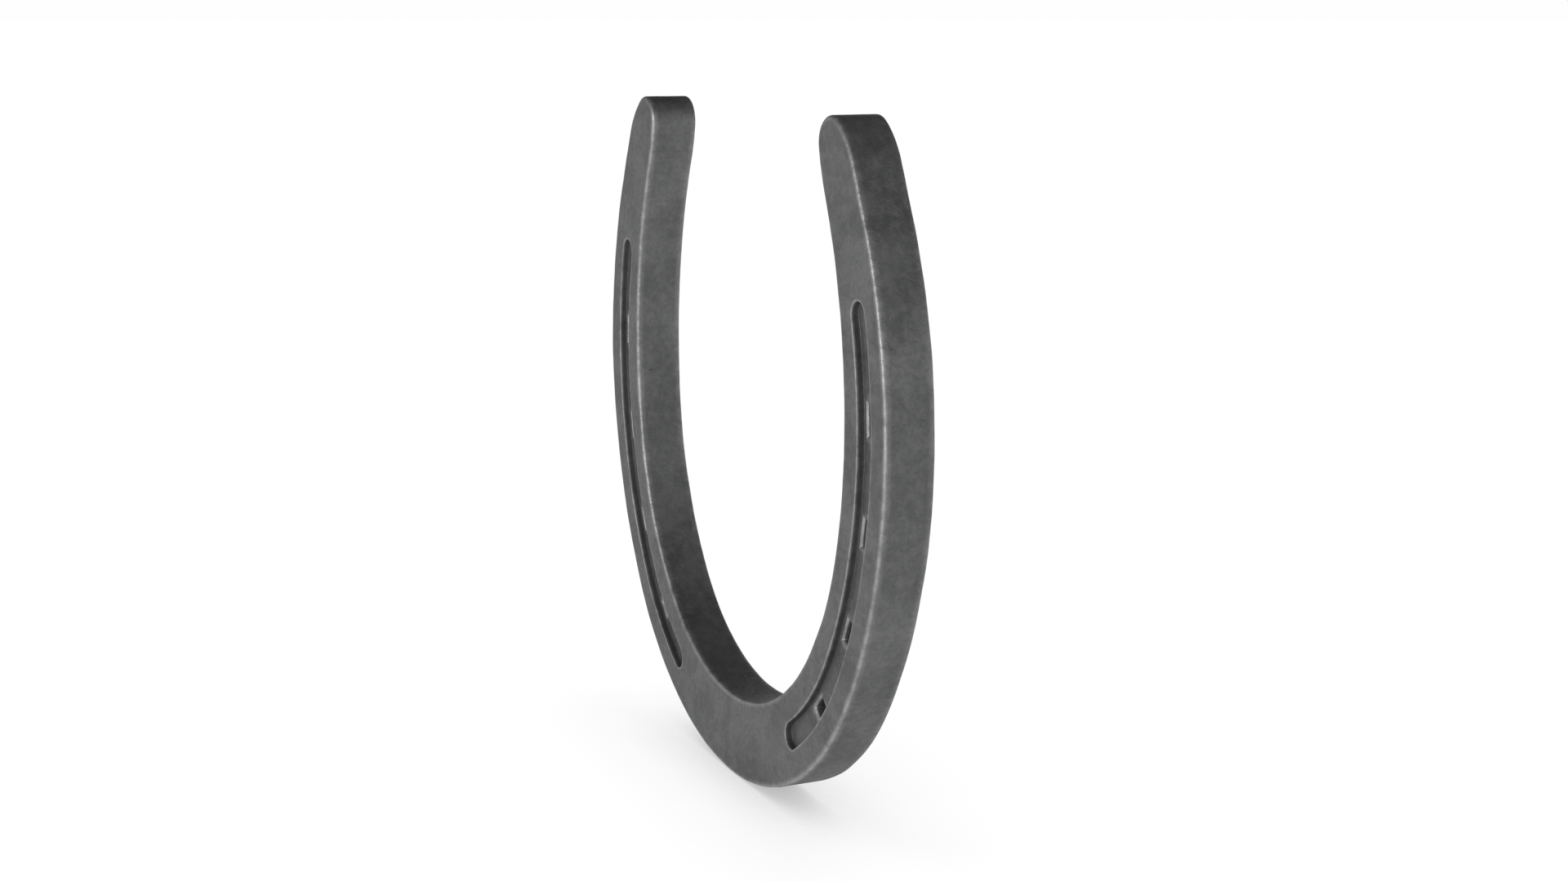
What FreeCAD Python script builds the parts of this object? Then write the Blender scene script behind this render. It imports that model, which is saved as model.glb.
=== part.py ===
import FreeCAD, Part
import math
import os

import Sketcher
from FreeCAD import Placement, Rotation, Vector
from types import SimpleNamespace

# A plain creased horseshoe: one bar of steel bent to a U, with a crease in each branch
# and four nail holes in each crease.
#
# Frame: the shoe stands upright, as it hangs on a wall. +X is across the shoe, +Z runs
# from the toe up to the heels, and +Y points out of the hoof face. The hoof face is at
# Y = 0 and the ground face, which has the creases, at Y = -thickness. The origin is on
# the hoof face, in the middle of the web at the toe.
#
# Everything is drawn for the right branch (+X) and mirrored to the left one. The outer
# rim, the inner rim and the middle line of the crease are all made the same way: a toe
# arc centred on the plane of symmetry, then wider arcs that run tangent into it.

DIMENSIONS = {
    # the bar
    "shoe_width": 130.0,
    "shoe_length": 130.0,
    "thickness": 9.5,
    "toe_web": 16.2,
    "edge_radius": 0.65,
    # the outer rim, from the toe to the heel
    "outer_toe_radius": 60.0,
    "outer_branch_radius": 87.7,
    "heel_lean": 25.3,
    "heel_shoulder_radius": 16.6,
    # the rounded end of the branch
    "heel_tip_radius": 4.8,
    "heel_tip_spread": 87.4,
    "heel_inner_radius": 27.7,
    # the inner rim, from the heel to the toe
    "inner_width": 98.6,
    "inner_widest_level": 70.0,
    "inner_branch_radius": 96.6,
    "inner_quarter_radius": 59.4,
    "inner_toe_radius": 44.4,
    # the crease
    "crease_width": 5.0,
    "crease_depth": 1.45,
    "crease_toe_radius": 52.8,
    "crease_branch_radius": 83.2,
    "crease_span": 114.5,
    "crease_heel_angle": 14.4,
    "crease_toe_angle": 57.9,
    # the nail holes
    "nail_pitch": 20.25,
    "nail_heel_inset": 17.5,
    "nail_heel_length": 5.8,
    "nail_toe_length": 4.0,
    "nail_width": 3.0,
    "nail_taper": 3.0,
    "nail_chamfer": 0.35,
}
NAILS_PER_BRANCH = 4
NODE = "forged_shoe"


def make_sheet(doc):
    """Put the driving dimensions in a spreadsheet, one aliased cell each."""
    sheet = doc.addObject("Spreadsheet::Sheet", "sizes")
    for row, (name, value) in enumerate(DIMENSIONS.items(), start=1):
        sheet.set(f"A{row}", name)
        sheet.set(f"B{row}", str(value))
        sheet.setAlias(f"B{row}", name)
    doc.recompute()
    return sheet


def polar(centre, radius, angle):
    """The point at this radius and angle (radians) from a centre, in the sketch plane."""
    return centre + Vector(math.cos(angle), math.sin(angle), 0) * radius


def angle_of(centre, point):
    """The direction from a centre to a point, in radians."""
    step = point - centre
    return math.atan2(step.y, step.x)


def meeting_point(centre_a, radius_a, centre_b, radius_b):
    """Where two circles cross, on the left hand of the way from a to b."""
    step = centre_b - centre_a
    gap = step.Length
    along = (gap**2 + radius_a**2 - radius_b**2) / (2 * gap)
    across = math.sqrt(radius_a**2 - along**2)
    left = Vector(-step.y, step.x, 0) / gap
    return centre_a + step * (along / gap) + left * across


def add_arc(sketch, centre, radius, start, end):
    """Add an arc that runs anticlockwise from start to end, in radians."""
    circle = Part.Circle(centre, Vector(0, 0, 1), radius)
    return sketch.addGeometry(Part.ArcOfCircle(circle, start, end), False)


def add_line(sketch, start, end):
    return sketch.addGeometry(Part.LineSegment(start, end), False)


START, END, CENTRE = 1, 2, 3
AXIS_X, AXIS_Z = -1, -2
ORIGIN = (AXIS_X, START)


def constrain(sketch, kind, *where):
    return sketch.addConstraint(Sketcher.Constraint(kind, *where))


def drive(sketch, kind, where, value, name, expression):
    """Add a dimension and bind it to the sheet."""
    index = constrain(sketch, kind, *where, value)
    sketch.renameConstraint(index, name)
    sketch.setExpression(f"Constraints.{name}", expression)


def drive_radius(sketch, arc, value, name, expression):
    drive(sketch, "Radius", (arc,), value, name, expression)


def new_sketch(body, name, offset=None):
    """A sketch on the body's XZ plane: its X is +X and its Y is +Z."""
    sketch = body.newObject("Sketcher::SketchObject", name)
    plane = next(f for f in body.Origin.OriginFeatures if f.Role == "XZ_Plane")
    sketch.AttachmentSupport = [(plane, "")]
    sketch.MapMode = "FlatFace"
    if offset:
        sketch.AttachmentOffset = offset
    return sketch


def draw_rim(sketch, size):
    """The right half of the bar's outline: outer rim, heel tip, inner rim, closing line."""
    half_width = size.shoe_width / 2
    outer_toe = Vector(0, size.outer_toe_radius - size.toe_web / 2, 0)
    outer_x = half_width - size.outer_branch_radius
    rise = math.sqrt((size.outer_branch_radius - size.outer_toe_radius) ** 2 - outer_x**2)
    outer_branch = Vector(outer_x, outer_toe.y + rise, 0)
    lean = math.radians(size.heel_lean)

    tip_level = size.shoe_length - size.toe_web / 2 - size.heel_tip_radius
    tip = Vector(size.heel_tip_spread / 2, tip_level, 0)
    # the shoulder is tangent to the heel line from inside and holds the tip arc inside it
    inwards = Vector(-math.cos(lean), -math.sin(lean), 0)
    along = Vector(-math.sin(lean), math.cos(lean), 0)
    line_start = polar(outer_branch, size.outer_branch_radius, lean)
    parallel = line_start + inwards * size.heel_shoulder_radius
    offset = (tip - parallel).dot(inwards)
    gap = size.heel_shoulder_radius - size.heel_tip_radius
    run = (tip - parallel).dot(along) - math.sqrt(gap**2 - offset**2)
    shoulder = parallel + along * run

    inner_toe = Vector(0, size.toe_web / 2 + size.inner_toe_radius, 0)
    inner_x = size.inner_width / 2 - size.inner_branch_radius
    inner_branch = Vector(inner_x, size.inner_widest_level, 0)
    quarter = meeting_point(
        inner_branch,
        size.inner_branch_radius - size.inner_quarter_radius,
        inner_toe,
        size.inner_quarter_radius - size.inner_toe_radius,
    )
    heel = meeting_point(
        tip,
        size.heel_inner_radius - size.heel_tip_radius,
        inner_branch,
        size.inner_branch_radius + size.heel_inner_radius,
    )

    outer_join = angle_of(outer_branch, outer_toe)
    shoulder_join = angle_of(shoulder, tip)
    tip_join = angle_of(heel, tip) % (2 * math.pi)
    heel_join = angle_of(heel, inner_branch) % (2 * math.pi)
    branch_join = angle_of(inner_branch, heel)
    quarter_join = angle_of(inner_branch, quarter)
    toe_join = angle_of(quarter, inner_toe)

    down = -math.pi / 2
    toe = add_arc(sketch, outer_toe, size.outer_toe_radius, down, outer_join)
    branch = add_arc(sketch, outer_branch, size.outer_branch_radius, outer_join, lean)
    line = add_line(sketch, line_start, polar(shoulder, size.heel_shoulder_radius, lean))
    round_1 = add_arc(sketch, shoulder, size.heel_shoulder_radius, lean, shoulder_join)
    round_2 = add_arc(sketch, tip, size.heel_tip_radius, shoulder_join, tip_join)
    round_3 = add_arc(sketch, heel, size.heel_inner_radius, tip_join, heel_join)
    inside_1 = add_arc(
        sketch, inner_branch, size.inner_branch_radius, quarter_join, branch_join
    )
    inside_2 = add_arc(sketch, quarter, size.inner_quarter_radius, toe_join, quarter_join)
    inside_3 = add_arc(sketch, inner_toe, size.inner_toe_radius, down, toe_join)
    closing = add_line(
        sketch, Vector(0, size.toe_web / 2, 0), Vector(0, -size.toe_web / 2, 0)
    )

    for first, first_end, second, second_end in (
        (toe, END, branch, START),
        (branch, END, line, START),
        (line, END, round_1, START),
        (round_1, END, round_2, START),
        (round_2, END, round_3, START),
        (round_3, END, inside_1, END),
        (inside_1, START, inside_2, END),
        (inside_2, START, inside_3, END),
    ):
        constrain(sketch, "Tangent", first, first_end, second, second_end)
    constrain(sketch, "Coincident", inside_3, START, closing, START)
    constrain(sketch, "Coincident", closing, END, toe, START)
    for item, point in (
        (toe, CENTRE),
        (toe, START),
        (inside_3, CENTRE),
        (inside_3, START),
    ):
        constrain(sketch, "PointOnObject", item, point, AXIS_Z)

    for arc, value, name in (
        (toe, size.outer_toe_radius, "outer_toe_radius"),
        (branch, size.outer_branch_radius, "outer_branch_radius"),
        (round_1, size.heel_shoulder_radius, "heel_shoulder_radius"),
        (round_2, size.heel_tip_radius, "heel_tip_radius"),
        (round_3, size.heel_inner_radius, "heel_inner_radius"),
        (inside_1, size.inner_branch_radius, "inner_branch_radius"),
        (inside_2, size.inner_quarter_radius, "inner_quarter_radius"),
        (inside_3, size.inner_toe_radius, "inner_toe_radius"),
    ):
        drive_radius(sketch, arc, value, name, f"sizes.{name}")

    drive(
        sketch, "DistanceY", (toe, START, *ORIGIN), size.toe_web / 2,
        "outer_toe_edge", "sizes.toe_web / 2",
    )
    drive(
        sketch, "DistanceY", (*ORIGIN, inside_3, START), size.toe_web / 2,
        "inner_toe_edge", "sizes.toe_web / 2",
    )
    drive(
        sketch, "DistanceX", (branch, CENTRE, *ORIGIN), -outer_x,
        "outer_branch_centre", "sizes.outer_branch_radius - sizes.shoe_width / 2",
    )
    drive(
        sketch, "DistanceX", (inside_1, CENTRE, *ORIGIN), -inner_x,
        "inner_branch_centre", "sizes.inner_branch_radius - sizes.inner_width / 2",
    )
    drive(
        sketch, "DistanceY", (*ORIGIN, inside_1, CENTRE), size.inner_widest_level,
        "inner_widest_level", "sizes.inner_widest_level",
    )
    drive(
        sketch, "DistanceX", (*ORIGIN, round_2, CENTRE), tip.x,
        "heel_tip_centre", "sizes.heel_tip_spread / 2",
    )
    drive(
        sketch, "DistanceY", (*ORIGIN, round_2, CENTRE), tip.y,
        "heel_tip_level", "sizes.shoe_length - sizes.toe_web / 2 - sizes.heel_tip_radius",
    )
    drive(
        sketch, "Angle", (AXIS_X, START, line, START), math.pi / 2 + lean,
        "heel_lean", "(90 + sizes.heel_lean) * 1 deg",
    )


def crease_centres(size):
    """Centres of the toe arc and of the branch arc of the crease's middle line."""
    toe = Vector(0, size.crease_toe_radius, 0)
    reach = size.crease_span / 2 - size.crease_branch_radius
    apart = size.crease_branch_radius - size.crease_toe_radius
    return toe, toe + Vector(reach, math.sqrt(apart**2 - reach**2), 0)


def draw_crease(sketch, size):
    """The right crease: a slot of even width along two tangent arcs, with round ends."""
    toe_centre, branch_centre = crease_centres(size)
    half = size.crease_width / 2
    toe_end = -math.radians(size.crease_toe_angle)
    heel_end = math.radians(size.crease_heel_angle)
    join = angle_of(branch_centre, toe_centre)
    toe_tip = polar(toe_centre, size.crease_toe_radius, toe_end)
    heel_tip = polar(branch_centre, size.crease_branch_radius, heel_end)

    toe_outer = add_arc(sketch, toe_centre, size.crease_toe_radius + half, toe_end, join)
    branch_outer = add_arc(
        sketch, branch_centre, size.crease_branch_radius + half, join, heel_end
    )
    heel_cap = add_arc(sketch, heel_tip, half, heel_end, heel_end + math.pi)
    branch_inner = add_arc(
        sketch, branch_centre, size.crease_branch_radius - half, join, heel_end
    )
    toe_inner = add_arc(sketch, toe_centre, size.crease_toe_radius - half, toe_end, join)
    toe_cap = add_arc(sketch, toe_tip, half, toe_end + math.pi, toe_end + 2 * math.pi)
    heel_spoke = add_line(sketch, branch_centre, heel_tip)
    toe_spoke = add_line(sketch, toe_tip, toe_centre)
    sketch.setConstruction(heel_spoke, True)
    sketch.setConstruction(toe_spoke, True)

    for first, first_end, second, second_end in (
        (toe_outer, END, branch_outer, START),
        (branch_outer, END, heel_cap, START),
        (heel_cap, END, branch_inner, END),
        (branch_inner, START, toe_inner, END),
        (toe_inner, START, toe_cap, START),
        (toe_cap, END, toe_outer, START),
    ):
        constrain(sketch, "Tangent", first, first_end, second, second_end)
    for item, point, other, other_point in (
        (toe_outer, CENTRE, toe_inner, CENTRE),
        (branch_outer, CENTRE, branch_inner, CENTRE),
        (heel_spoke, START, branch_outer, CENTRE),
        (heel_spoke, END, heel_cap, CENTRE),
        (toe_spoke, START, toe_cap, CENTRE),
        (toe_spoke, END, toe_outer, CENTRE),
    ):
        constrain(sketch, "Coincident", item, point, other, other_point)
    constrain(sketch, "PointOnObject", toe_outer, CENTRE, AXIS_Z)

    drive(
        sketch, "DistanceY", (*ORIGIN, toe_outer, CENTRE), size.crease_toe_radius,
        "toe_centre", "sizes.crease_toe_radius",
    )
    drive(
        sketch, "DistanceX", (branch_outer, CENTRE, *ORIGIN), -branch_centre.x,
        "branch_centre", "sizes.crease_branch_radius - sizes.crease_span / 2",
    )
    drive_radius(
        sketch, toe_outer, size.crease_toe_radius + half,
        "toe_edge", "sizes.crease_toe_radius + sizes.crease_width / 2",
    )
    drive_radius(
        sketch, branch_outer, size.crease_branch_radius + half,
        "branch_edge", "sizes.crease_branch_radius + sizes.crease_width / 2",
    )
    drive_radius(sketch, heel_cap, half, "half_width", "sizes.crease_width / 2")
    drive(
        sketch, "Angle", (AXIS_X, START, heel_spoke, START), heel_end,
        "heel_end", "sizes.crease_heel_angle * 1 deg",
    )
    drive(
        sketch, "Angle", (AXIS_X, START, toe_spoke, START), math.pi + toe_end,
        "toe_end", "(180 - sizes.crease_toe_angle) * 1 deg",
    )


def along_crease(size, distance):
    """Point and heading (degrees) on the middle line, this far from its heel end."""
    toe_centre, branch_centre = crease_centres(size)
    join = angle_of(branch_centre, toe_centre)
    heel_end = math.radians(size.crease_heel_angle)
    branch_length = (heel_end - join) * size.crease_branch_radius
    if distance < branch_length:
        centre, radius = branch_centre, size.crease_branch_radius
        angle = heel_end - distance / radius
    else:
        centre, radius = toe_centre, size.crease_toe_radius
        angle = join - (distance - branch_length) / radius
    return polar(centre, radius, angle), math.degrees(angle) + 90


def draw_nail_hole(sketch, length, length_expression, size):
    """A rectangle round the sketch's own origin, its long side along the crease."""
    half_length = length / 2
    half_width = size.nail_width / 2
    corners = [
        Vector(-half_length, -half_width, 0),
        Vector(half_length, -half_width, 0),
        Vector(half_length, half_width, 0),
        Vector(-half_length, half_width, 0),
    ]
    sides = [add_line(sketch, corners[i], corners[(i + 1) % 4]) for i in range(4)]
    for i, side in enumerate(sides):
        constrain(sketch, "Coincident", side, END, sides[(i + 1) % 4], START)
        constrain(sketch, "Vertical" if i % 2 else "Horizontal", side)
    constrain(sketch, "Symmetric", sides[0], START, sides[2], START, *ORIGIN)
    drive(
        sketch, "DistanceX", (sides[0], START, sides[0], END), length,
        "length", length_expression,
    )
    drive(
        sketch, "DistanceY", (sides[1], START, sides[1], END), size.nail_width,
        "width", "sizes.nail_width",
    )


def pocket(body, sketch, name, depth_expression):
    """Cut the sketch towards +Y, and make sure that it does take metal away."""
    before = body.Shape.Volume
    cut = body.newObject("PartDesign::Pocket", name)
    cut.Profile = sketch
    cut.setExpression("Length", depth_expression)
    body.Document.recompute()
    if cut.Shape.Volume > before - 1:
        raise RuntimeError(f"{name} cuts nothing")
    return cut


def edge_names(shape, wanted):
    return [f"Edge{i}" for i, edge in enumerate(shape.Edges, start=1) if wanted(edge)]


def on_level(edge, level):
    """True if the edge lies flat in the plane Y = level."""
    box = edge.BoundBox
    return abs(box.YMin - level) < 1e-4 and abs(box.YMax - level) < 1e-4


def make_shoe(doc, size):
    body = doc.addObject("PartDesign::Body", NODE)
    body.Label = NODE
    ground_face = Placement(Vector(0, 0, size.thickness), Rotation())

    rim = new_sketch(body, "rim_outline")
    draw_rim(rim, size)
    bar = body.newObject("PartDesign::Pad", "bar")
    bar.Profile = rim
    bar.setExpression("Length", "sizes.thickness")
    doc.recompute()

    crease_line = new_sketch(body, "crease_outline", ground_face)
    crease_line.setExpression("AttachmentOffset.Base.z", "sizes.thickness")
    draw_crease(crease_line, size)
    crease = pocket(body, crease_line, "crease", "sizes.crease_depth")

    floor_level = size.thickness - size.crease_depth
    last = NAILS_PER_BRANCH - 1
    nail_holes = []
    for i in range(NAILS_PER_BRANCH):
        spot, heading = along_crease(size, size.nail_heel_inset + i * size.nail_pitch)
        place = Placement(spot + Vector(0, 0, floor_level), Rotation(Vector(0, 0, 1), heading))
        length = size.nail_heel_length + (size.nail_toe_length - size.nail_heel_length) * i / last
        length_expression = (
            f"sizes.nail_heel_length + (sizes.nail_toe_length - sizes.nail_heel_length) * {i} / {last}"
        )
        mouth = new_sketch(body, f"nail_outline_{i + 1}", place)
        mouth.setExpression("AttachmentOffset.Base.z", "sizes.thickness - sizes.crease_depth")
        draw_nail_hole(mouth, length, length_expression, size)
        hole = pocket(body, mouth, f"nail_hole_{i + 1}", "sizes.thickness - sizes.crease_depth")
        hole.setExpression("TaperAngle", "-sizes.nail_taper")
        nail_holes.append(hole)

    both = body.newObject("PartDesign::Mirrored", "both_branches")
    both.Originals = [bar, crease, *nail_holes]
    mirror = next(f for f in body.Origin.OriginFeatures if f.Role == "YZ_Plane")
    both.MirrorPlane = (mirror, [""])
    body.Tip = both
    doc.recompute()

    mouths = body.newObject("PartDesign::Chamfer", "nail_hole_mouths")
    mouths.Base = (
        both,
        edge_names(
            both.Shape,
            lambda edge: edge.Curve.TypeId == "Part::GeomLine" and on_level(edge, -floor_level),
        ),
    )
    mouths.setExpression("Size", "sizes.nail_chamfer")
    doc.recompute()

    faces = [f for f in mouths.Shape.Faces if f.Surface.TypeId == "Part::GeomPlane"]
    rims = [
        edge
        for level in (0, -size.thickness)
        for face in faces
        if on_level(face, level)
        for edge in face.OuterWire.Edges
    ]
    rounded = body.newObject("PartDesign::Fillet", "rounded_rims")
    rounded.Base = (
        mouths,
        edge_names(mouths.Shape, lambda edge: any(edge.isSame(rim) for rim in rims)),
    )
    rounded.setExpression("Radius", "sizes.edge_radius")
    doc.recompute()
    return body


def check(doc, body):
    """Stop if a feature failed or if the body isn't one sound solid."""
    for item in doc.Objects:
        if {"Invalid", "Error"} & set(item.State):
            raise RuntimeError(f"{item.Name} failed")
        if item.isDerivedFrom("Sketcher::SketchObject") and not item.FullyConstrained:
            raise RuntimeError(f"{item.Name} isn't fully constrained")
    shape = body.Shape
    if shape.isNull() or not shape.isValid() or len(shape.Solids) != 1:
        raise RuntimeError("the shoe isn't one valid solid")


doc = FreeCAD.newDocument("horseshoe")
make_sheet(doc)
shoe = make_shoe(doc, SimpleNamespace(**DIMENSIONS))
check(doc, shoe)
os.makedirs("parts", exist_ok=True)
shoe.Shape.exportStep(f"parts/{NODE}.step")
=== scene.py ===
import math

import bmesh
import bpy
import numpy as np
from mathutils import Matrix, Vector, noise
from mathutils.geometry import delaunay_2d_cdt


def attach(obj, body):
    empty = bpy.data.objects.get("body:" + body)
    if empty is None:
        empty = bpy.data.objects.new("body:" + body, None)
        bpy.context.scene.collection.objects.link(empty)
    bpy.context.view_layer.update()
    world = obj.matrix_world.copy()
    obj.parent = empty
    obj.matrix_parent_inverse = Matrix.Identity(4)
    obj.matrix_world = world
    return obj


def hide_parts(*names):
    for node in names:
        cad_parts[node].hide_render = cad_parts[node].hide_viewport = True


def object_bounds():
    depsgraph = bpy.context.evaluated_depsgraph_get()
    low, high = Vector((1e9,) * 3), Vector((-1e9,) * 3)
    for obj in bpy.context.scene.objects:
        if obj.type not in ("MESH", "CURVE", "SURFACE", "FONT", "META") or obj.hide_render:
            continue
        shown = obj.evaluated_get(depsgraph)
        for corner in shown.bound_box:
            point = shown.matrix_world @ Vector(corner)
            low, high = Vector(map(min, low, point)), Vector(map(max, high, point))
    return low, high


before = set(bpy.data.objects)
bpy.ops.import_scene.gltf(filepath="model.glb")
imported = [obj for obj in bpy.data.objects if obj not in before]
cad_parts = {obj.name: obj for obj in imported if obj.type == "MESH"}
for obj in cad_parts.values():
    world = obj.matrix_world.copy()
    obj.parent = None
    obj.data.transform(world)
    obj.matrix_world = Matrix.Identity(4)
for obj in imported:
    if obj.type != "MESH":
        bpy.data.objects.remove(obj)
cad_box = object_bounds()

# The horseshoe stands upright: X across, Z from the toe up to the heels, Y = 0 the hoof
# face and Y = GROUND the ground face, which has the creases. The origin is in the middle
# of the web at the toe. Shapes are made in millimetres and turned into metres at the end.
# A "loop" is a closed line of flat points (X, Z) with the outward directions beside them,
# so that every wall, rounded edge and chamfer is a stack of offset loops.

low, high = (np.array(corner) * 1000 for corner in cad_box)
WIDTH, THICKNESS, LENGTH = np.round(high - low, 1)
TOE_WEB = np.round(-2 * low[2], 1)

# the outer rim, from the toe to the heel
OUTER_TOE_R = 60.0
OUTER_BRANCH_R = 87.7
HEEL_LEAN = math.radians(25.3)
SHOULDER_R = 16.6

# the rounded end of the branch
TIP_R = 4.8
TIP_SPREAD = 87.4
HEEL_INNER_R = 27.7

# the inner rim, from the heel to the toe
INNER_WIDTH = 98.6
INNER_LEVEL = 70.0
INNER_BRANCH_R = 96.6
INNER_QUARTER_R = 59.4
INNER_TOE_R = 44.4

# the rounded edges of the bar
EDGE_RADIUS = 0.65
EDGE_WEAR = (0.35, 0.6, 0.95, 0.95, 0.6, 0.35)     # from the flat face round to the wall
EDGE_MARGIN = 0.45
WALL_ROWS = 9

# the creases
CREASE_WIDTH = 5.0
CREASE_DEPTH = 1.45
CREASE_TOE_R = 52.8
CREASE_BRANCH_R = 83.2
CREASE_SPAN = 114.5
CREASE_HEEL_END = math.radians(14.4)
CREASE_TOE_END = math.radians(-57.9)
CREASE_ROUND = 0.12         # radius of the lip and of the root
CREASE_LIP_MARGIN = 0.35
CREASE_ROOT_MARGIN = 0.2

# the nail holes, counted from the heel
NAILS = 4
NAIL_PITCH = 20.25
NAIL_INSET = 17.5
NAIL_HEEL_LENGTH = 5.8
NAIL_TOE_LENGTH = 4.0
NAIL_WIDTH = 3.0
NAIL_TAPER = math.radians(3.0)
NAIL_CHAMFER = 0.35
NAIL_CORNER_STEPS = 4
NAIL_SIDE_STEPS = (5, 9)    # across the crease, along it

GROUND = -THICKNESS
CREASE_FLOOR = CREASE_DEPTH - THICKNESS

# the mesh
RIM_STEP = 0.7              # spacing of the points along the rims
HEEL_STEP = 0.42            # the same round the heels
CREASE_END_STEP = 0.35      # the same round the ends of the creases
FILL_STEP = 0.85            # spacing of the points that fill the flat faces
CLEARANCE = 0.7 * FILL_STEP     # least distance from those points to a rim
SLIVER = 1e-3               # faces smaller than this on a straight border are dropped

# (height, waves per millimetre) of the forged surface's unevenness
UNEVENNESS = ((0.11, 0.045), (0.06, 0.16), (0.02, 0.5))
SEED = Vector((3.7, 11.2, 5.4))

# the studio, in metres
FLOOR_RADIUS = 30.0
LIT_POINT = (0, 0, 0.055)
LIGHTS = {                  # place, diameter, power
    "key": ((0.45, -1.25, 0.30), 0.8, 12),
    "fill": ((1.3, 0.1, 0.40), 0.8, 2),
    "back": ((-2.2, 2.2, 0.75), 1.8, 20),
}
CAMERA_PLACE = (0.37592, -0.1688, 0.13919)
CAMERA_ROUND = math.radians(65.577)
CAMERA_DOWN = math.radians(11.199)


# ---------------------------------------------------------------- flat curves


def point(x, z):
    return np.array((x, z), float)


def directions(angles):
    return np.stack((np.cos(angles), np.sin(angles)), 1)


def polar(centre, radius, angle):
    return centre + radius * point(math.cos(angle), math.sin(angle))


def angle_of(centre, target):
    return math.atan2(target[1] - centre[1], target[0] - centre[0])


def meeting_point(centre_a, radius_a, centre_b, radius_b):
    """Where two circles cross, on the left hand of the way from a to b."""
    step = centre_b - centre_a
    gap = np.hypot(*step)
    along = (gap**2 + radius_a**2 - radius_b**2) / (2 * gap)
    across = math.sqrt(radius_a**2 - along**2)
    return centre_a + step * (along / gap) + point(-step[1], step[0]) * (across / gap)


def run_arc(centre, radius, start, end, side, step):
    """Points from start up to, but not at, end. side is 1 where the metal is inside."""
    count = max(2, round(abs(end - start) * radius / step))
    out = directions(start + (end - start) * np.arange(count) / count)
    return centre + radius * out, out * side


def run_line(start, end, out, step):
    count = max(1, round(np.hypot(*(end - start)) / step))
    t = np.arange(count)[:, None] / count
    return start + (end - start) * t, np.repeat(out[None], count, 0)


def join_runs(runs):
    return tuple(np.concatenate(part) for part in zip(*runs))


def on_right(flat):
    """Everything is drawn on the right branch, so it stays as it is."""
    return flat


def on_left(flat):
    """The same points or directions on the left branch, still anticlockwise."""
    return flat[::-1] * point(-1, 1)


def rim_loop():
    """The outline of the bar, anticlockwise from the middle of the toe's outer edge."""
    # the outer rim: toe arc, branch arc, then a straight run to the heel
    outer_toe = point(0, OUTER_TOE_R - TOE_WEB / 2)
    outer_x = WIDTH / 2 - OUTER_BRANCH_R
    rise = math.sqrt((OUTER_BRANCH_R - OUTER_TOE_R) ** 2 - outer_x**2)
    outer_branch = outer_toe + point(outer_x, rise)
    out = point(math.cos(HEEL_LEAN), math.sin(HEEL_LEAN))
    line_start = outer_branch + OUTER_BRANCH_R * out

    # the heel: shoulder arc and tip arc, touching inside
    tip = point(TIP_SPREAD / 2, LENGTH - TOE_WEB / 2 - TIP_R)
    along = point(-out[1], out[0])
    to_tip = tip - (line_start - out * SHOULDER_R)
    run = to_tip @ along - math.sqrt((SHOULDER_R - TIP_R) ** 2 - (to_tip @ out) ** 2)
    line_end = line_start + along * run
    shoulder = line_end - out * SHOULDER_R

    # the inner rim: a hollow arc at the heel, then branch, quarter and toe arcs
    inner_toe = point(0, TOE_WEB / 2 + INNER_TOE_R)
    inner_branch = point(INNER_WIDTH / 2 - INNER_BRANCH_R, INNER_LEVEL)
    quarter = meeting_point(
        inner_branch,
        INNER_BRANCH_R - INNER_QUARTER_R,
        inner_toe,
        INNER_QUARTER_R - INNER_TOE_R,
    )
    heel = meeting_point(
        tip, HEEL_INNER_R - TIP_R, inner_branch, INNER_BRANCH_R + HEEL_INNER_R
    )

    full = 2 * math.pi
    down = -math.pi / 2
    toe_join = angle_of(outer_branch, outer_toe)
    shoulder_join = angle_of(shoulder, tip)
    tip_join = angle_of(heel, tip) % full
    heel_join = angle_of(heel, inner_branch) % full
    branch_join = angle_of(inner_branch, heel)
    quarter_join = angle_of(inner_branch, quarter)
    inner_join = angle_of(quarter, inner_toe)
    place, outward = join_runs([
        run_arc(outer_toe, OUTER_TOE_R, down, toe_join, 1, RIM_STEP),
        run_arc(outer_branch, OUTER_BRANCH_R, toe_join, HEEL_LEAN, 1, RIM_STEP),
        run_line(line_start, line_end, out, RIM_STEP),
        run_arc(shoulder, SHOULDER_R, HEEL_LEAN, shoulder_join, 1, HEEL_STEP),
        run_arc(tip, TIP_R, shoulder_join, tip_join, 1, HEEL_STEP),
        run_arc(heel, HEEL_INNER_R, tip_join, heel_join, 1, HEEL_STEP),
        run_arc(inner_branch, INNER_BRANCH_R, branch_join, quarter_join, -1, RIM_STEP),
        run_arc(quarter, INNER_QUARTER_R, quarter_join, inner_join, -1, RIM_STEP),
        run_arc(inner_toe, INNER_TOE_R, inner_join, down, -1, RIM_STEP),
    ])
    # the right branch, the middle of the inner toe, and the left branch without the
    # middle of the outer toe, which is there already
    return (
        np.concatenate((place, [point(0, TOE_WEB / 2)], on_left(place)[:-1])),
        np.concatenate((outward, [point(0, 1)], on_left(outward)[:-1])),
    )


def crease_centres():
    """The centres of the toe arc and the branch arc of the right crease's middle line."""
    toe = point(0, CREASE_TOE_R)
    reach = CREASE_SPAN / 2 - CREASE_BRANCH_R
    apart = CREASE_BRANCH_R - CREASE_TOE_R
    return toe, toe + point(reach, math.sqrt(apart**2 - reach**2))


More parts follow.
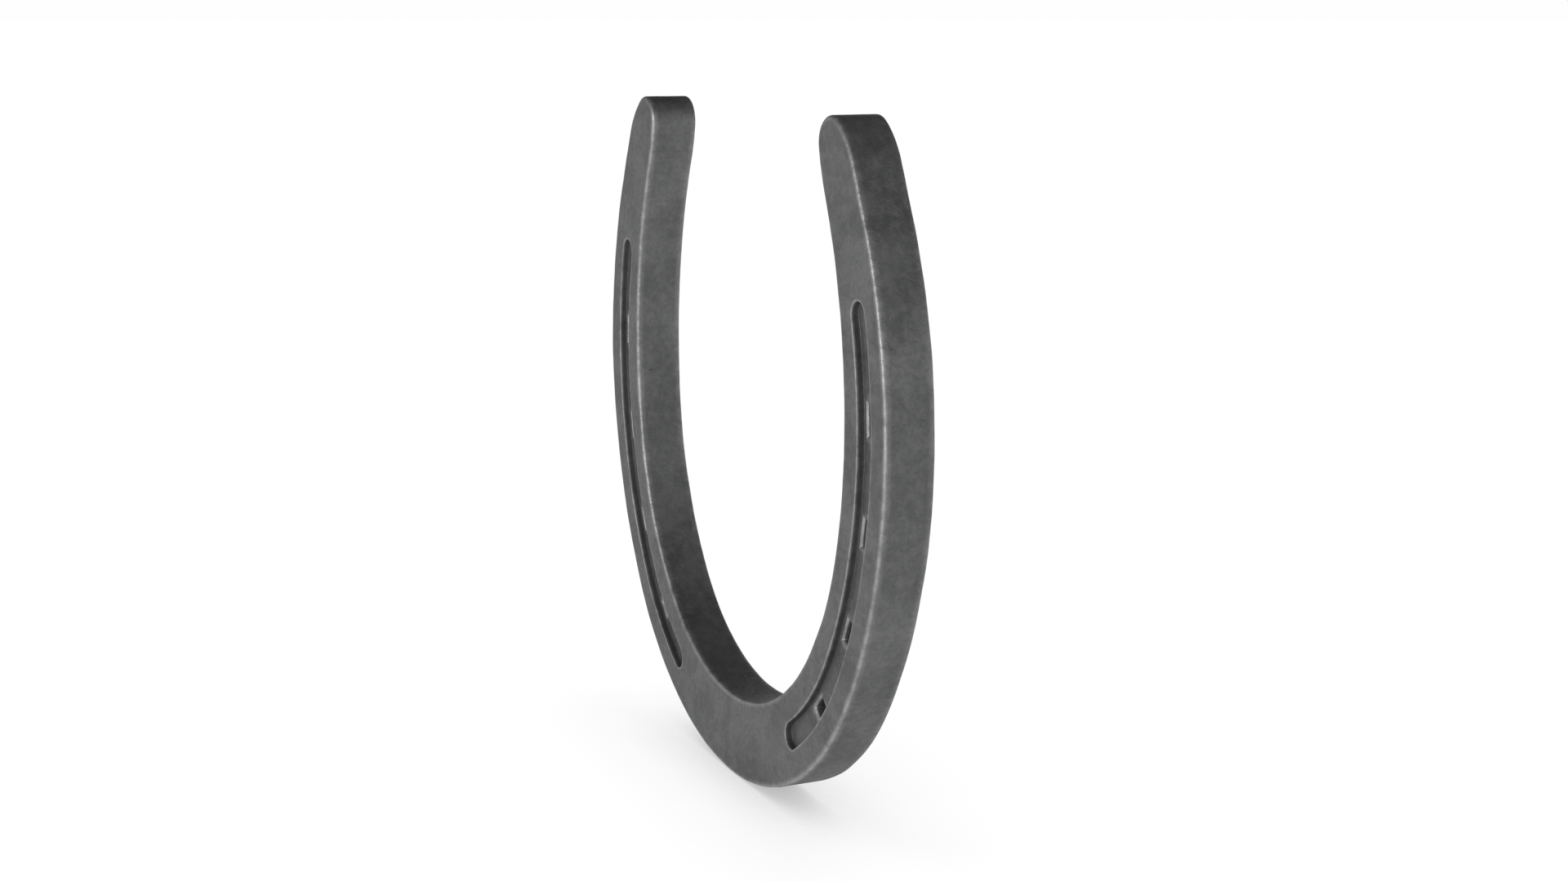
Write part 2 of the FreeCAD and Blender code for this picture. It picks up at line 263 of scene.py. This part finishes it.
def crease_loop():
    """The edge of the right crease, anticlockwise, with directions out of the slot."""
    toe, branch = crease_centres()
    join = angle_of(branch, toe)
    half = CREASE_WIDTH / 2
    toe_tip = polar(toe, CREASE_TOE_R, CREASE_TOE_END)
    heel_tip = polar(branch, CREASE_BRANCH_R, CREASE_HEEL_END)
    after_heel = CREASE_HEEL_END + math.pi
    before_toe, after_toe = CREASE_TOE_END + math.pi, CREASE_TOE_END + 2 * math.pi
    return join_runs([
        run_arc(toe, CREASE_TOE_R + half, CREASE_TOE_END, join, 1, RIM_STEP),
        run_arc(branch, CREASE_BRANCH_R + half, join, CREASE_HEEL_END, 1, RIM_STEP),
        run_arc(heel_tip, half, CREASE_HEEL_END, after_heel, 1, CREASE_END_STEP),
        run_arc(branch, CREASE_BRANCH_R - half, CREASE_HEEL_END, join, -1, RIM_STEP),
        run_arc(toe, CREASE_TOE_R - half, join, CREASE_TOE_END, -1, RIM_STEP),
        run_arc(toe_tip, half, before_toe, after_toe, 1, CREASE_END_STEP),
    ])


def nail_spot(index):
    """Where a nail hole is on the crease's middle line, and the way its long side runs."""
    toe, branch = crease_centres()
    join = angle_of(branch, toe)
    distance = NAIL_INSET + index * NAIL_PITCH
    branch_length = (CREASE_HEEL_END - join) * CREASE_BRANCH_R
    if distance < branch_length:
        angle = CREASE_HEEL_END - distance / CREASE_BRANCH_R
        return polar(branch, CREASE_BRANCH_R, angle), angle + math.pi / 2
    angle = join - (distance - branch_length) / CREASE_TOE_R
    return polar(toe, CREASE_TOE_R, angle), angle + math.pi / 2


def nail_ring(index, grow, corner_radius):
    """A rectangle round a nail hole, grown on all sides, with rounded corners."""
    centre, heading = nail_spot(index)
    length = NAIL_HEEL_LENGTH + (NAIL_TOE_LENGTH - NAIL_HEEL_LENGTH) * index / (NAILS - 1)
    reach = point(length / 2, NAIL_WIDTH / 2) + grow - corner_radius
    corners = [reach * signs for signs in ((1, -1), (1, 1), (-1, 1), (-1, -1))]
    places = []
    for k, here in enumerate(corners):
        after = corners[(k + 1) % 4]
        turn = np.linspace(0, 1, NAIL_CORNER_STEPS + 1)
        arc = here + corner_radius * directions((k - 1 + turn) * math.pi / 2)
        count = NAIL_SIDE_STEPS[k % 2]
        t = np.arange(1, count)[:, None] / count
        places += [arc, arc[-1] + (after - here) * t]
    cos, sin = math.cos(heading), math.sin(heading)
    return centre + np.concatenate(places) @ np.array(((cos, sin), (-sin, cos)))


# ---------------------------------------------------------------- filling a flat face


def staggered_grid(start, end):
    """Points at even distances, with every second row moved by half a step."""
    rows = []
    for k, z in enumerate(np.arange(start[1], end[1], FILL_STEP * math.sqrt(3) / 2)):
        x = np.arange(start[0] + (k % 2) * FILL_STEP / 2, end[0], FILL_STEP)
        rows.append(np.stack((x, np.full(len(x), z)), 1))
    return np.concatenate(rows)


def inside(places, loop):
    """True for each place that lies inside the closed loop."""
    result = np.zeros(len(places), bool)
    x, z = places[:, 0], places[:, 1]
    for (x0, z0), (x1, z1) in zip(loop, np.roll(loop, -1, 0)):
        if z0 != z1:
            crosses = (z0 > z) != (z1 > z)
            result ^= crosses & (x < (x1 - x0) * (z - z0) / (z1 - z0) + x0)
    return result


def on_face(places, loops):
    """True for each place inside the first loop and outside all the others."""
    result = inside(places, loops[0])
    for hole in loops[1:]:
        result &= ~inside(places, hole)
    return result


def far_from(places, others, distance):
    """True for each place that is at least this far from every other point."""
    batch = 2000
    keep = np.ones(len(places), bool)
    for start in range(0, len(places), batch):
        part = places[start:start + batch]
        gaps = ((part[:, None] - others[None]) ** 2).sum(2).min(1)
        keep[start:start + batch] = gaps > distance**2
    return keep


def triangulate(flat, loop_sizes):
    """Triangles between the points. The first points are loops, whose edges are kept."""
    edges, first = [], 0
    for size in loop_sizes:
        edges.extend((first + k, first + (k + 1) % size) for k in range(size))
        first += size
    _, _, triangles, sources, _, _ = delaunay_2d_cdt(
        [Vector(place) for place in flat], edges, [], 0, 1e-5
    )
    return np.array([[sources[corner][0] for corner in triangle] for triangle in triangles])


# ---------------------------------------------------------------- the mesh


class Skin:
    """Collects points and faces. Wear, and the painted shade in the creases and nail holes, are
    painted on the points as they come.
    """

    def __init__(self):
        self.points = []
        self.wear = []
        self.hollow_shade = []
        self.faces = []

    def add(self, flat, level, wear=0.0, hollow_shade=0.0):
        """Add flat points at a level on Y. Returns their indices."""
        first = len(self.points)
        self.points.extend((x, level, z) for x, z in flat)
        self.wear.extend([wear] * len(flat))
        self.hollow_shade.extend([hollow_shade] * len(flat))
        return np.arange(first, first + len(flat))

    def bands(self, rings):
        """Four-sided faces between each ring and the next."""
        for ring, other in zip(rings, rings[1:]):
            self.faces.extend(zip(ring, np.roll(ring, -1), np.roll(other, -1), other))

    def stack(self, loop, rows):
        """Offset rings of a loop: rows of (inset, level, wear, painted shade). Returns both
        ends.
        """
        place, outward = loop
        rings = [
            self.add(place - outward * inset, level, wear, hollow_shade)
            for inset, level, wear, hollow_shade in rows
        ]
        self.bands(rings)
        return rings[0], rings[-1]

    def sheet(self, border, holes, level, hollow_shade=0.0):
        """Fill the flat area inside the border ring and outside the hole rings."""
        rings = [border, *holes]
        loops = [np.array([self.points[i][::2] for i in ring]) for ring in rings]
        edge = np.concatenate(loops)
        fill = staggered_grid(edge.min(0), edge.max(0))
        fill = fill[on_face(fill, loops)]
        fill = fill[far_from(fill, edge, CLEARANCE)]

        flat = np.concatenate((edge, fill))
        index = np.concatenate((*rings, self.add(fill, level, hollow_shade=hollow_shade)))
        corners = triangulate(flat, [len(ring) for ring in rings])
        side_a, side_b = (flat[corners[:, k]] - flat[corners[:, 0]] for k in (1, 2))
        doubled_area = np.abs(side_a[:, 0] * side_b[:, 1] - side_a[:, 1] * side_b[:, 0])
        keep = on_face(flat[corners].mean(1), loops) & (doubled_area > SLIVER)
        self.faces.extend(map(tuple, index[corners[keep]]))


def quarter_round(radius, steps):
    """(inset, drop) pairs round a quarter circle, from the flat face to the wall."""
    angles = np.linspace(0, math.pi / 2, steps + 1)
    return [(radius * (1 - math.sin(a)), radius * (1 - math.cos(a))) for a in angles]


def bar_rows():
    """(inset, level, wear, painted shade) down the bar: hoof face edge, wall, ground face edge.
    """
    hoof_edge = [(EDGE_RADIUS + EDGE_MARGIN, 0.0, 0.0, 0.0)]
    profile = quarter_round(EDGE_RADIUS, len(EDGE_WEAR) - 1)
    hoof_edge += [(inset, -drop, wear, 0.0) for (inset, drop), wear in zip(profile, EDGE_WEAR)]
    levels = np.linspace(-EDGE_RADIUS, GROUND + EDGE_RADIUS, WALL_ROWS + 2)[1:-1]
    wall = [(0.0, level, 0.0, 0.0) for level in levels]
    ground_edge = [(inset, GROUND - level, wear, hollow_shade)
                   for inset, level, wear, hollow_shade in reversed(hoof_edge)]
    return hoof_edge + wall + ground_edge


def crease_rows():
    """(inset, level, wear, painted shade) into a crease: ground face, worn lip, wall and root
    darkened by painted shade, floor.
    """
    lip = quarter_round(CREASE_ROUND, 3)
    root = quarter_round(CREASE_ROUND, 2)[1::-1]
    levels = np.linspace(GROUND + CREASE_ROUND, CREASE_FLOOR - CREASE_ROUND, 4)[1:]
    # the last value of each row is painted shade: the crease's wall and root darkest, its floor
    # less
    return (
        [(-CREASE_ROUND - CREASE_LIP_MARGIN, GROUND, 0.0, 0.0)]
        + [(-inset, GROUND + drop, 0.9, 0.0) for inset, drop in lip]
        + [(0.0, level, 0.0, 0.8) for level in levels]
        + [(inset, CREASE_FLOOR - drop, 0.0, 0.9) for inset, drop in root]
        + [(CREASE_ROUND + CREASE_ROOT_MARGIN, CREASE_FLOOR, 0.0, 0.4)]
    )


def nail_rows():
    """(grow, corner radius, level, wear, painted shade) down a nail hole, from mouth to exit."""
    soft = 0.05                 # half the width of the chamfer's rounded edges
    slope = math.tan(NAIL_TAPER)
    depth = -CREASE_FLOOR
    # the last value of each row is painted shade, growing darker down the throat of the hole
    chamfer = [
        (NAIL_CHAMFER + soft, 0.12, CREASE_FLOOR, 0.6, 0.2),
        (NAIL_CHAMFER - soft, 0.12, CREASE_FLOOR + soft, 0.9, 0.0),
        (soft, 0.28, CREASE_FLOOR + NAIL_CHAMFER - soft, 0.9, 0.0),
    ]
    throat = [
        (-down * slope, 0.34, CREASE_FLOOR + down, 0.0, min(1.0, 0.3 + down / 3))
        for down in np.linspace(NAIL_CHAMFER + soft, depth - 0.2, 7)
    ]
    exit_edge = [
        (-depth * slope + 0.04, 0.34, -0.05, 0.4, 0.2),
        (-depth * slope + 0.16, 0.36, 0.0, 0.3, 0.1),
    ]
    return chamfer + throat + exit_edge


def build_skin():
    """The whole shoe as one closed skin."""
    skin = Skin()
    hoof_border, ground_border = skin.stack(rim_loop(), bar_rows())
    creases, exits = [], []
    for on_branch in (on_right, on_left):
        crease, foot = skin.stack(tuple(map(on_branch, crease_loop())), crease_rows())
        creases.append(crease)
        mouths = []
        for index in range(NAILS):
            rings = [
                skin.add(on_branch(nail_ring(index, grow, corner_radius)), level, wear, hollow_shade)
                for grow, corner_radius, level, wear, hollow_shade in nail_rows()
            ]
            skin.bands(rings)
            mouths.append(rings[0])
            exits.append(rings[-1])
        # the crease floor round the nail holes gets a little painted shade
        skin.sheet(foot, mouths, CREASE_FLOOR, hollow_shade=0.3)
    skin.sheet(ground_border, creases, GROUND)
    skin.sheet(hoof_border, exits, 0.0)
    return skin


def unevenness(place):
    """How far the forged surface stands off its ideal shape here, in millimetres."""
    return sum(
        height * noise.noise(place * waves + SEED * (k + 1))
        for k, (height, waves) in enumerate(UNEVENNESS)
    )


def make_shoe(skin):
    mesh = bpy.data.meshes.new("horseshoe")
    mesh.from_pydata(skin.points, [], [tuple(map(int, face)) for face in skin.faces])
    work = bmesh.new()
    work.from_mesh(mesh)
    bmesh.ops.recalc_face_normals(work, faces=work.faces[:])
    work.normal_update()
    for vertex in work.verts:
        vertex.co += vertex.normal * unevenness(vertex.co)
    bmesh.ops.scale(work, vec=(0.001, 0.001, 0.001), verts=work.verts[:])
    work.to_mesh(mesh)
    work.free()
    # wear, and the painted shade of the creases and nail holes, go on the points as attributes
    for name, values in (("wear", skin.wear), ("hollow_shade", skin.hollow_shade)):
        mesh.attributes.new(name, "FLOAT", "POINT").data.foreach_set("value", values)
    mesh.polygons.foreach_set("use_smooth", [True] * len(mesh.polygons))
    mesh.materials.append(forged_steel())
    return place_in_scene("horseshoe_bar", mesh)


def place_in_scene(name, data):
    placed = bpy.data.objects.new(name, data)
    bpy.context.scene.collection.objects.link(placed)
    return placed


# ---------------------------------------------------------------- materials


class Nodes:
    """A short way to write a node tree. Lengths are in the units of the vector given."""

    def __init__(self, owner):
        owner.use_nodes = True
        self.tree = owner.node_tree
        self.tree.nodes.clear()

    def put(self, value, socket):
        """Link a socket's value, or set a plain one."""
        if isinstance(value, bpy.types.NodeSocket):
            self.tree.links.new(value, socket)
        else:
            socket.default_value = value

    def add(self, kind, inputs=(), **settings):
        node = self.tree.nodes.new(kind)
        for name, value in settings.items():
            setattr(node, name, value)
        for name, value in dict(inputs).items():
            self.put(value, node.inputs[name])
        return node

    def noise(self, place, scale, detail=3.0, roughness=0.55, distortion=0.0):
        return self.add("ShaderNodeTexNoise", {
            "Vector": place, "Scale": scale, "Detail": detail,
            "Roughness": roughness, "Distortion": distortion,
        }).outputs["Fac"]

    def shift(self, place, scale, distance):
        """The place moved about by up to this distance, differently everywhere."""
        jitter = self.add("ShaderNodeTexNoise", {"Vector": place, "Scale": scale})
        move = self.add("ShaderNodeVectorMath", operation="MULTIPLY", inputs={
            0: jitter.outputs["Color"], 1: (distance, distance, distance),
        })
        return self.add(
            "ShaderNodeVectorMath", {0: place, 1: move.outputs[0]}, operation="ADD"
        ).outputs[0]

    def fit(self, value, start, end, to_start=0.0, to_end=1.0):
        """Map start..end smoothly onto to_start..to_end."""
        return self.add("ShaderNodeMapRange", {
            "Value": value, "From Min": start, "From Max": end,
            "To Min": to_start, "To Max": to_end,
        }, interpolation_type="SMOOTHSTEP").outputs["Result"]

    def math(self, operation, a, b):
        """A sum, difference or product, kept between 0 and 1."""
        return self.add(
            "ShaderNodeMath", {0: a, 1: b}, operation=operation, use_clamp=True
        ).outputs[0]

    def mix(self, factor, a, b):
        """Colour a turned into colour b by the factor."""
        node = self.add("ShaderNodeMix", data_type="RGBA")
        for value, socket in zip((factor, a, b), (node.inputs[0], *node.inputs[6:8])):
            self.put(value, socket)
        return node.outputs[2]


def grey(level, warm=0.0):
    return (level * (1 + warm), level, level * (1 - warm), 1.0)


def forged_steel():
    """Dark forging oxide: mottled, finely pitted, rubbed lighter along the edges, with painted
    shade darkening the creases and nail holes.
    """
    material = bpy.data.materials.new("forged_steel_dark_oxide")
    n = Nodes(material)
    where = n.add("ShaderNodeTexCoord").outputs["Object"]
    millimetres = n.add("ShaderNodeMapping", {"Vector": where, "Scale": (1000, 1000, 1000)})
    place = millimetres.outputs[0]
    wear = n.add("ShaderNodeAttribute", attribute_name="wear").outputs["Fac"]
    # painted shade of the creases and nail holes, read from the points
    hollow_shade = n.add("ShaderNodeAttribute", attribute_name="hollow_shade").outputs["Fac"]

    # patterns, from the broadest to the finest
    mottle = n.noise(place, 0.10, 5.0, 0.6, 0.5)
    cloud = n.noise(place, 0.50, 5.0, 0.62)
    flakes = n.fit(n.noise(place, 0.95, 5.0, 0.6, 0.3), 0.44, 0.60)
    grain = n.noise(place, 5.5, 3.0, 0.65)
    pores = n.add("ShaderNodeTexVoronoi", {"Vector": n.shift(place, 2.2, 0.9), "Scale": 0.9})
    pit = n.fit(pores.outputs["Distance"], 0.06, 0.22, 1.0, 0.0)
    pit = n.math("MULTIPLY", pit, n.fit(n.noise(place, 0.21, 2.0), 0.53, 0.66))
    rub = n.math("MULTIPLY", wear, n.fit(cloud, 0.32, 0.60, 0.40, 1.0))

    colour = n.mix(n.fit(mottle, 0.34, 0.66), grey(0.088, -0.015), grey(0.135, -0.01))
    colour = n.mix(n.fit(cloud, 0.42, 0.68, 0.0, 0.45), colour, grey(0.175, 0.01))
    colour = n.mix(n.math("MULTIPLY", flakes, 0.22), colour, grey(0.070, -0.02))
    colour = n.mix(n.fit(grain, 0.40, 0.72, 0.0, 0.35), colour, grey(0.180))
    colour = n.mix(n.math("MULTIPLY", pit, 0.6), colour, grey(0.035, 0.06))
    # painted shade: the creases and nail holes are darkened as if shade fell in them
    colour = n.mix(n.math("MULTIPLY", hollow_shade, 0.5), colour, grey(0.050, 0.04))
    colour = n.mix(n.math("MULTIPLY", rub, 0.75), colour, grey(0.34, 0.005))

    rough = n.fit(cloud, 0.3, 0.7, 0.46, 0.60)
    rough = n.math("ADD", rough, n.math("MULTIPLY", flakes, 0.07))
    rough = n.math("SUBTRACT", rough, n.math("MULTIPLY", rub, 0.15))

    relief = n.math("MULTIPLY", cloud, 0.30)
    relief = n.math("ADD", relief, n.math("MULTIPLY", flakes, 0.12))
    relief = n.math("ADD", relief, n.math("MULTIPLY", grain, 0.16))
    relief = n.math("SUBTRACT", relief, n.math("MULTIPLY", pit, 0.30))
    bump = n.add("ShaderNodeBump", {"Height": relief, "Strength": 0.8, "Distance": 0.0002})

    shader = n.add("ShaderNodeBsdfPrincipled", {
        "Base Color": colour, "Roughness": rough, "Metallic": 0.60,
        "Specular Tint": grey(0.45), "Normal": bump.outputs[0], "IOR": 1.45,
    })
    n.add("ShaderNodeOutputMaterial", {"Surface": shader.outputs[0]})
    return material


def floor_paint():
    """A matt white floor lit from within, with a painted contact shadow: its glow is dimmed by
    ambient occlusion only where the object stands on it.
    """
    material = bpy.data.materials.new("pale_floor")
    n = Nodes(material)
    # ambient occlusion that paints the contact shadow into the floor's glow
    contact_shadow = n.add("ShaderNodeAmbientOcclusion", {"Distance": 0.05}, samples=4)
    shader = n.add("ShaderNodeBsdfPrincipled", {
        "Base Color": grey(0.12), "Roughness": 0.9, "Specular IOR Level": 0.0,
        "Emission Color": grey(1.0),
        "Emission Strength": n.fit(contact_shadow.outputs["AO"], 0.0, 1.0, 0.45, 0.99),
    })
    n.add("ShaderNodeOutputMaterial", {"Surface": shader.outputs[0]})
    return material


# ---------------------------------------------------------------- studio


def make_floor(level):
    """A wide round floor at this height."""
    work = bmesh.new()
    bmesh.ops.create_circle(work, cap_ends=True, radius=FLOOR_RADIUS, segments=128)
    bmesh.ops.translate(work, vec=(0, 0, level), verts=work.verts[:])
    mesh = bpy.data.meshes.new("floor")
    work.to_mesh(mesh)
    work.free()
    mesh.materials.append(floor_paint())
    return place_in_scene("floor", mesh)


def make_light(name, place, diameter, power):
    """A round soft light that points at the middle of the shoe."""
    light = bpy.data.lights.new(name, "AREA")
    light.shape = "DISK"
    light.size = diameter
    light.energy = power
    lamp = place_in_scene(name, light)
    lamp.location = place
    lamp.rotation_euler = (Vector(LIT_POINT) - Vector(place)).to_track_quat("-Z", "Y").to_euler()


def make_world():
    """A white horizon under a dim ceiling, so that surfaces that face up stay dark."""
    world = bpy.data.worlds.new("studio")
    n = Nodes(world)
    direction = n.add("ShaderNodeTexCoord").outputs["Generated"]
    height = n.add("ShaderNodeSeparateXYZ", {"Vector": direction}).outputs["Z"]
    strength = n.fit(height, 0.12, 0.38, 0.99, 0.07)
    background = n.add("ShaderNodeBackground", {"Color": grey(1.0), "Strength": strength})
    n.add("ShaderNodeOutputWorld", {"Surface": background.outputs[0]})
    bpy.context.scene.world = world


def make_camera():
    """The photograph's viewing angle, through a 50 mm lens on a 36 mm sensor."""
    lens = bpy.data.cameras.new("camera")
    lens.lens = 50
    lens.sensor_width = 36
    camera = place_in_scene("camera", lens)
    turn = Matrix.Rotation(CAMERA_ROUND, 4, "Z")
    tilt = Matrix.Rotation(math.pi / 2 - CAMERA_DOWN, 4, "X")
    camera.matrix_world = Matrix.Translation(CAMERA_PLACE) @ turn @ tilt
    bpy.context.scene.camera = camera


shoe = make_shoe(build_skin())
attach(shoe, "root")
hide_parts("forged_shoe")
make_floor(min(vertex.co.z for vertex in shoe.data.vertices))

for name, (place, diameter, power) in LIGHTS.items():
    make_light(name, place, diameter, power)
make_world()
make_camera()
bpy.context.scene.view_settings.view_transform = "Standard"
